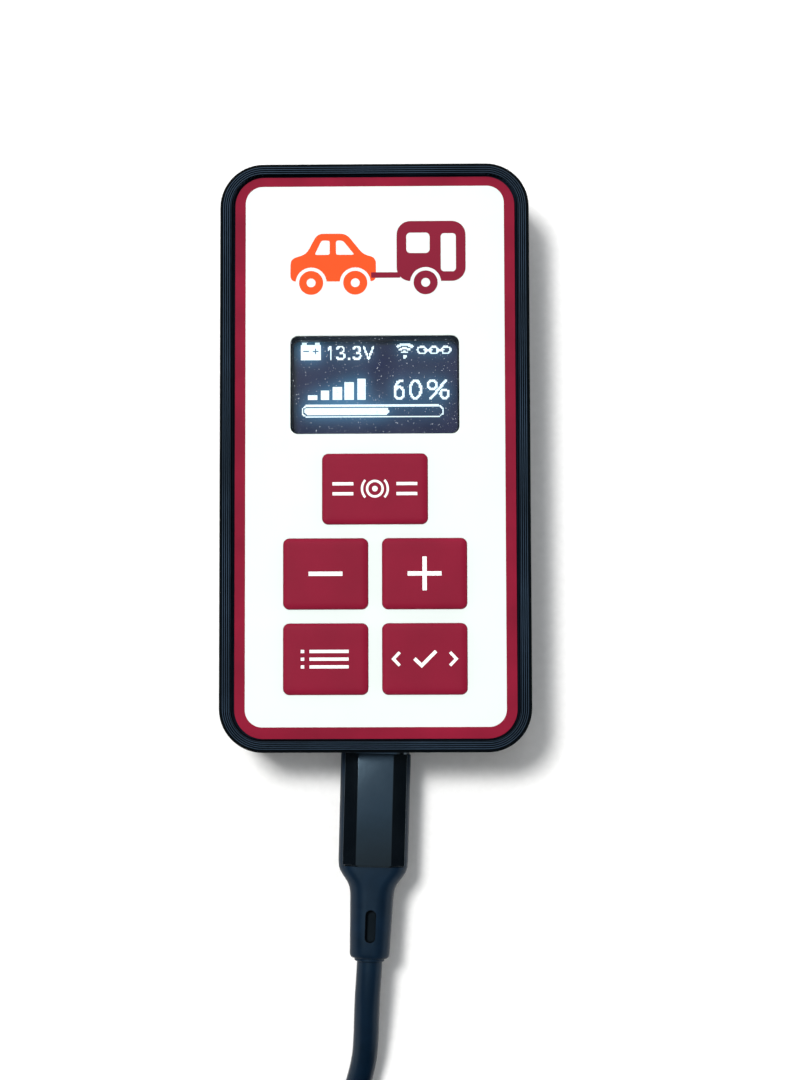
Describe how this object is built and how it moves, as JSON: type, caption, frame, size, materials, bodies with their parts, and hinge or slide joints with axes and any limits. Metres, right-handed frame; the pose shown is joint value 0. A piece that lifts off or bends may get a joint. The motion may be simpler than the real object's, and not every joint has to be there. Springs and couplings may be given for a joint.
{
  "type": "brake controller",
  "caption": "Handheld brake controller in a printed case, with a recessed keypad film, a small lit display, raised keys and a USB supply lead that is plugged in and stored as a tied coil.",
  "frame": {"origin": "middle of the case's footprint, on its back, with the unit lying on its back", "axes": "+Z out of the keypad face, +Y towards the display end, +X towards the plus key; the supply lead leaves towards -Y"},
  "size_m": [0.0579, 0.2076, 0.0182],
  "materials": {
    "case_print": "printed in fine layers, satin black-blue",
    "cover_print": "printed, flat lines, satin",
    "screw_steel": "machined, dark",
    "insert_brass": "knurled",
    "film_print": "printed film, fine matte, white field with a maroon border",
    "window_clear": "clear, polished",
    "gasket_foam": "foam, matte",
    "display_glass": "polished, dark",
    "flex_film": "amber film",
    "board_blue": "lacquered board",
    "board_green": "lacquered board",
    "board_black": "lacquered board",
    "black_plastic": "moulded, satin",
    "contact_gold": "plated, polished",
    "shield_steel": "stamped tin plate",
    "dome_steel": "spring steel",
    "capacitor_can": "drawn can",
    "capacitor_ceramic": "fired ceramic, tinned ends",
    "socket_steel": "stamped, bright",
    "key_maroon": "raised print, soft satin",
    "plug_steel": "drawn, bright",
    "plug_gloss": "polished black",
    "plug_soft": "soft moulded, fine matte",
    "cable_soft": "soft jacket, satin",
    "tie_fabric": "woven hook-and-loop strap",
    "insulator_plastic": "moulded"
  },
  "bodies": {
    "case": {"case_shell": "case_print", "back_cover": "cover_print", "cover_screws": "screw_steel", "threaded_inserts": "insert_brass", "keypad_film": "film_print", "display_window": "window_clear", "display_gasket": "gasket_foam", "oled_glass": "display_glass", "oled_flex": "flex_film", "oled_board": "board_blue", "oled_header": "black_plastic", "oled_header_pins": "contact_gold", "main_board": "board_green", "board_screws": "screw_steel", "radio_board": "board_black", "radio_shield": "shield_steel", "voltage_regulator": "black_plastic", "storage_capacitor": "capacitor_can", "chip_capacitors": "capacitor_ceramic", "chip_resistors": "black_plastic", "usb_socket_shell": "socket_steel", "usb_socket_tongue": "black_plastic", "switch_bases": "black_plastic", "switch_covers": "shield_steel", "switch_terminals": "shield_steel", "brake_dome": "dome_steel", "minus_dome": "dome_steel", "plus_dome": "dome_steel", "menu_dome": "dome_steel", "select_dome": "dome_steel"},
    "brake_button": {"brake_key": "key_maroon", "brake_stem": "black_plastic"},
    "minus_button": {"minus_key": "key_maroon", "minus_stem": "black_plastic"},
    "plus_button": {"plus_key": "key_maroon", "plus_stem": "black_plastic"},
    "menu_button": {"menu_key": "key_maroon", "menu_stem": "black_plastic"},
    "select_button": {"select_key": "key_maroon", "select_stem": "black_plastic"},
    "supply_lead": {"plug_shell": "plug_steel", "plug_insert": "black_plastic", "plug_core": "plug_gloss", "plug_sleeve": "plug_soft", "cable_jacket": "cable_soft", "cable_coil": "cable_soft", "cable_tail": "cable_soft", "cable_tie": "tie_fabric", "far_relief": "plug_soft", "far_grip": "plug_soft", "far_shell": "plug_steel", "far_insulator": "insulator_plastic", "far_contacts": "contact_gold"}
  },
  "joints": [
    {"name": "brake_press", "type": "slide", "parent": "case", "child": "brake_button", "axis": [0, 0, -1], "range_m": [0, 0.0005], "stiffness_N_per_m": 4000, "deforming": ["brake_dome"]},
    {"name": "minus_press", "type": "slide", "parent": "case", "child": "minus_button", "axis": [0, 0, -1], "range_m": [0, 0.0005], "stiffness_N_per_m": 4000, "deforming": ["minus_dome"]},
    {"name": "plus_press", "type": "slide", "parent": "case", "child": "plus_button", "axis": [0, 0, -1], "range_m": [0, 0.0005], "stiffness_N_per_m": 4000, "deforming": ["plus_dome"]},
    {"name": "menu_press", "type": "slide", "parent": "case", "child": "menu_button", "axis": [0, 0, -1], "range_m": [0, 0.0005], "stiffness_N_per_m": 4000, "deforming": ["menu_dome"]},
    {"name": "select_press", "type": "slide", "parent": "case", "child": "select_button", "axis": [0, 0, -1], "range_m": [0, 0.0005], "stiffness_N_per_m": 4000, "deforming": ["select_dome"]},
    {"name": "plug_pull", "type": "slide", "parent": "case", "child": "supply_lead", "axis": [0, -1, 0], "range_m": [0, 0.008]}
  ]
}
